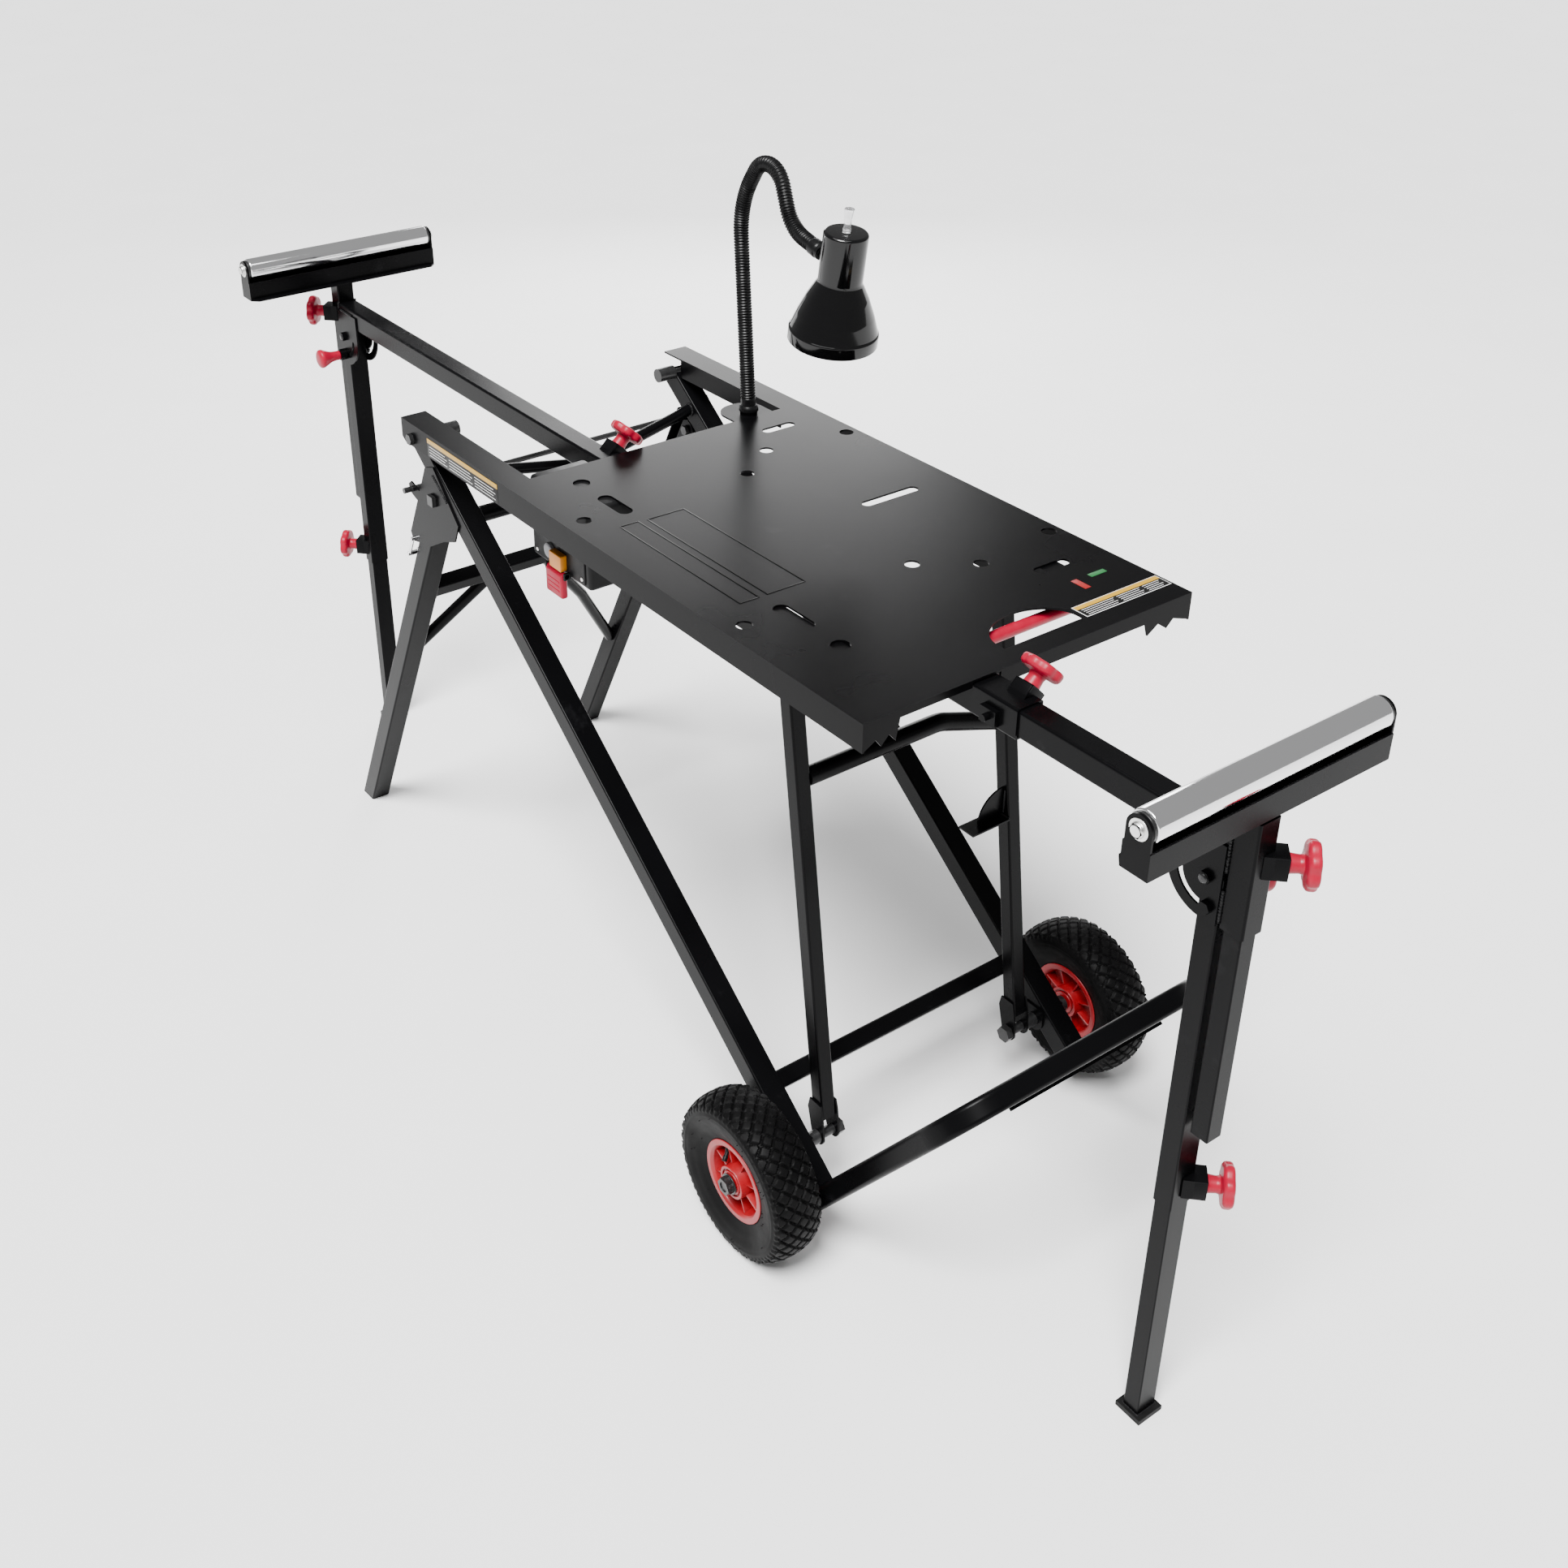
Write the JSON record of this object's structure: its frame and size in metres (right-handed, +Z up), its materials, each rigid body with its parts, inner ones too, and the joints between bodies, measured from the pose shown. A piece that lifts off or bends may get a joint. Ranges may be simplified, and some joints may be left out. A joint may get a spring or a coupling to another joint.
{
  "type": "folding mitre saw stand",
  "caption": "Wheeled folding stand with a steel deck for a mitre saw, telescopic roller outriggers, a toe frame and a gooseneck work lamp.",
  "frame": {"origin": "on the floor under the middle of the outrigger span, midway between the wheels", "axes": "+X along the deck towards the wheels, +Y to the far side, +Z up"},
  "size_m": [2.4152, 0.77, 1.3993],
  "materials": {
    "powder_coat": "semi-gloss black powder coat",
    "zinc": "bright zinc plating",
    "tyre": "black rubber, slightly dusty",
    "rim_paint": "moulded red",
    "gooseneck": "ribbed black conduit",
    "lamp_gloss": "gloss black enamel",
    "dark_plastic": "fine-grained moulding",
    "bulb_glass": "frosted glass",
    "clear_knob": "clear moulding",
    "red_plastic": "moulded, slightly pink red",
    "yellow_plastic": "moulded yellow",
    "shoe_rubber": "moulded black shoe",
    "roller_chrome": "plated tube"
  },
  "bodies": {
    "main_frame": {"long_legs": "powder_coat", "upper_crossbar": "powder_coat", "rear_crossbar": "powder_coat", "lower_crossbar": "powder_coat", "toe_frame": "powder_coat", "wheel_axles": "zinc", "axle_spacers": "zinc", "hinge_plates": "powder_coat", "frame_bolts": "zinc"},
    "wheel_near": {"tyre_near": "tyre", "rim_near": "rim_paint"},
    "wheel_far": {"tyre_far": "tyre", "rim_far": "rim_paint"},
    "strut_frame": {"struts": "powder_coat", "strut_crossbar": "powder_coat", "hook_bracket": "powder_coat"},
    "deck": {"deck_panel": "powder_coat", "side_rails": "powder_coat", "beam_sleeve": "powder_coat", "sleeve_fittings": "powder_coat", "power_box": "dark_plastic", "lamp_base": "powder_coat", "gooseneck": "gooseneck", "deck_hinge_bolts": "zinc"},
    "release_bar": {"release_bar": "red_plastic"},
    "lamp_head": {"lamp_shade": "lamp_gloss", "lamp_holder": "dark_plastic", "lamp_bulb": "bulb_glass"},
    "lamp_switch": {"lamp_switch": "clear_knob"},
    "power_paddle": {"power_paddle": "red_plastic"},
    "power_key": {"power_key": "yellow_plastic"},
    "short_leg_frame": {"short_legs": "powder_coat", "leg_shoes": "shoe_rubber", "short_crossbar": "powder_coat", "short_braces": "powder_coat"},
    "latch_bails": {"latch_bails": "zinc"},
    "lock_rod": {"lock_rod": "zinc"},
    "right_arm": {"right_arm": "powder_coat", "right_head": "powder_coat"},
    "right_outer_leg": {"right_outer_leg": "powder_coat"},
    "right_inner_leg": {"right_inner_leg": "powder_coat", "right_foot_pad": "shoe_rubber"},
    "right_roller_post": {"right_roller_post": "powder_coat"},
    "right_roller": {"right_roller": "roller_chrome"},
    "right_arm_knob": {"right_arm_knob": "red_plastic"},
    "right_post_knob": {"right_post_knob": "red_plastic"},
    "right_leg_knob": {"right_leg_knob": "red_plastic"},
    "right_lock_knob": {"right_lock_knob": "red_plastic"},
    "left_arm": {"left_arm": "powder_coat", "left_head": "powder_coat"},
    "left_outer_leg": {"left_outer_leg": "powder_coat"},
    "left_inner_leg": {"left_inner_leg": "powder_coat", "left_foot_pad": "shoe_rubber"},
    "left_roller_post": {"left_roller_post": "powder_coat"},
    "left_roller": {"left_roller": "roller_chrome"},
    "left_arm_knob": {"left_arm_knob": "red_plastic"},
    "left_post_knob": {"left_post_knob": "red_plastic"},
    "left_leg_knob": {"left_leg_knob": "red_plastic"},
    "left_lock_knob": {"left_lock_knob": "red_plastic"}
  },
  "joints": [
    {"name": "wheel_near_spin", "type": "hinge", "parent": "main_frame", "child": "wheel_near", "pos_m": [0.5595, -0.337, 0.13], "axis": [0, 1, 0], "continuous": true},
    {"name": "wheel_far_spin", "type": "hinge", "parent": "main_frame", "child": "wheel_far", "pos_m": [0.5595, 0.337, 0.13], "axis": [0, 1, 0], "continuous": true},
    {"name": "strut_fold", "type": "hinge", "parent": "main_frame", "child": "strut_frame", "pos_m": [0.5595, 0, 0.13], "axis": [0, -1, 0], "range_deg": [0, 18]},
    {"name": "deck_lift", "type": "hinge", "parent": "main_frame", "child": "deck", "pos_m": [-0.4535, 0, 0.932], "axis": [0, -1, 0], "range_deg": [0, 25]},
    {"name": "short_leg_fold", "type": "hinge", "parent": "main_frame", "child": "short_leg_frame", "pos_m": [-0.4135, 0, 0.832], "axis": [0, -1, 0], "range_deg": [0, 78]},
    {"name": "latch_bail_swing", "type": "hinge", "parent": "main_frame", "child": "latch_bails", "pos_m": [-0.4995, 0, 0.728], "axis": [0, 1, 0], "range_deg": [0, 40]},
    {"name": "lock_rod_shift", "type": "slide", "parent": "main_frame", "child": "lock_rod", "axis": [0, 1, 0], "range_m": [0, 0.008]},
    {"name": "release_bar_pull", "type": "slide", "parent": "deck", "child": "release_bar", "axis": [1, 0, 0], "range_m": [0, 0.018], "stiffness_N_per_m": 300},
    {"name": "lamp_head_tilt", "type": "hinge", "parent": "deck", "child": "lamp_head", "pos_m": [0.03525, 0.188, 1.2781], "axis": [0, 1, 0], "range_deg": [-20, 20]},
    {"name": "lamp_switch_turn", "type": "hinge", "parent": "lamp_head", "child": "lamp_switch", "pos_m": [0.0848, 0.188, 1.32799], "axis": [0.1489, 0, 0.9889], "range_deg": [0, 90]},
    {"name": "power_paddle_press", "type": "hinge", "parent": "deck", "child": "power_paddle", "pos_m": [-0.078, -0.24, 0.826], "axis": [1, 0, 0], "range_deg": [0, 5], "stiffness_Nm_per_rad": 0.6},
    {"name": "power_key_pull", "type": "slide", "parent": "deck", "child": "power_key", "axis": [0, -1, 0], "range_m": [0, 0.012]},
    {"name": "right_arm_slide", "type": "slide", "parent": "deck", "child": "right_arm", "axis": [1, 0, 0], "range_m": [0, 0.59]},
    {"name": "right_leg_fold", "type": "hinge", "parent": "right_arm", "child": "right_outer_leg", "pos_m": [1.098, -0.088, 0.889], "axis": [0, 1, 0], "range_deg": [0, 20]},
    {"name": "right_leg_slide", "type": "slide", "parent": "right_outer_leg", "child": "right_inner_leg", "axis": [0, 0, 1], "range_m": [0, 0.33]},
    {"name": "right_post_slide", "type": "slide", "parent": "right_arm", "child": "right_roller_post", "axis": [0, 0, 1], "range_m": [0, 0.2]},
    {"name": "right_roller_spin", "type": "hinge", "parent": "right_roller_post", "child": "right_roller", "pos_m": [1.1365, -0.088, 1.046], "axis": [0, 1, 0], "continuous": true},
    {"name": "right_post_knob_turn", "type": "hinge", "parent": "right_arm", "child": "right_post_knob", "pos_m": [1.1365, -0.088, 0.925], "axis": [0.7071, 0.7071, 0], "range_deg": [0, 360]},
    {"name": "right_leg_knob_turn", "type": "hinge", "parent": "right_outer_leg", "child": "right_leg_knob", "pos_m": [1.104, -0.088, 0.42], "axis": [0.7071, 0.7071, 0], "range_deg": [0, 360]},
    {"name": "right_lock_knob_pull", "type": "slide", "parent": "right_outer_leg", "child": "right_lock_knob", "axis": [0, 1, 0], "range_m": [0, 0.006], "stiffness_N_per_m": 400},
    {"name": "right_arm_knob_turn", "type": "hinge", "parent": "deck", "child": "right_arm_knob", "pos_m": [0.765, -0.088, 0.932], "axis": [0, 0.7071, 0.7071], "range_deg": [0, 360]},
    {"name": "left_arm_slide", "type": "slide", "parent": "deck", "child": "left_arm", "axis": [-1, 0, 0], "range_m": [-0.17, 0]},
    {"name": "left_leg_fold", "type": "hinge", "parent": "left_arm", "child": "left_outer_leg", "pos_m": [-1.098, -0.088, 0.889], "axis": [0, -1, 0], "range_deg": [0, 55]},
    {"name": "left_leg_slide", "type": "slide", "parent": "left_outer_leg", "child": "left_inner_leg", "axis": [0, 0, 1], "range_m": [0, 0.33]},
    {"name": "left_post_slide", "type": "slide", "parent": "left_arm", "child": "left_roller_post", "axis": [0, 0, 1], "range_m": [0, 0.2]},
    {"name": "left_roller_spin", "type": "hinge", "parent": "left_roller_post", "child": "left_roller", "pos_m": [-1.1365, -0.088, 1.046], "axis": [0, 1, 0], "continuous": true},
    {"name": "left_post_knob_turn", "type": "hinge", "parent": "left_arm", "child": "left_post_knob", "pos_m": [-1.1365, -0.088, 0.925], "axis": [-0.7071, -0.7071, 0], "range_deg": [0, 360]},
    {"name": "left_leg_knob_turn", "type": "hinge", "parent": "left_outer_leg", "child": "left_leg_knob", "pos_m": [-1.104, -0.088, 0.42], "axis": [-0.7071, -0.7071, 0], "range_deg": [0, 360]},
    {"name": "left_lock_knob_pull", "type": "slide", "parent": "left_outer_leg", "child": "left_lock_knob", "axis": [0, -1, 0], "range_m": [0, 0.006], "stiffness_N_per_m": 400},
    {"name": "left_arm_knob_turn", "type": "hinge", "parent": "deck", "child": "left_arm_knob", "pos_m": [-0.1735, -0.088, 0.932], "axis": [0, 0.7071, 0.7071], "range_deg": [0, 360]}
  ]
}
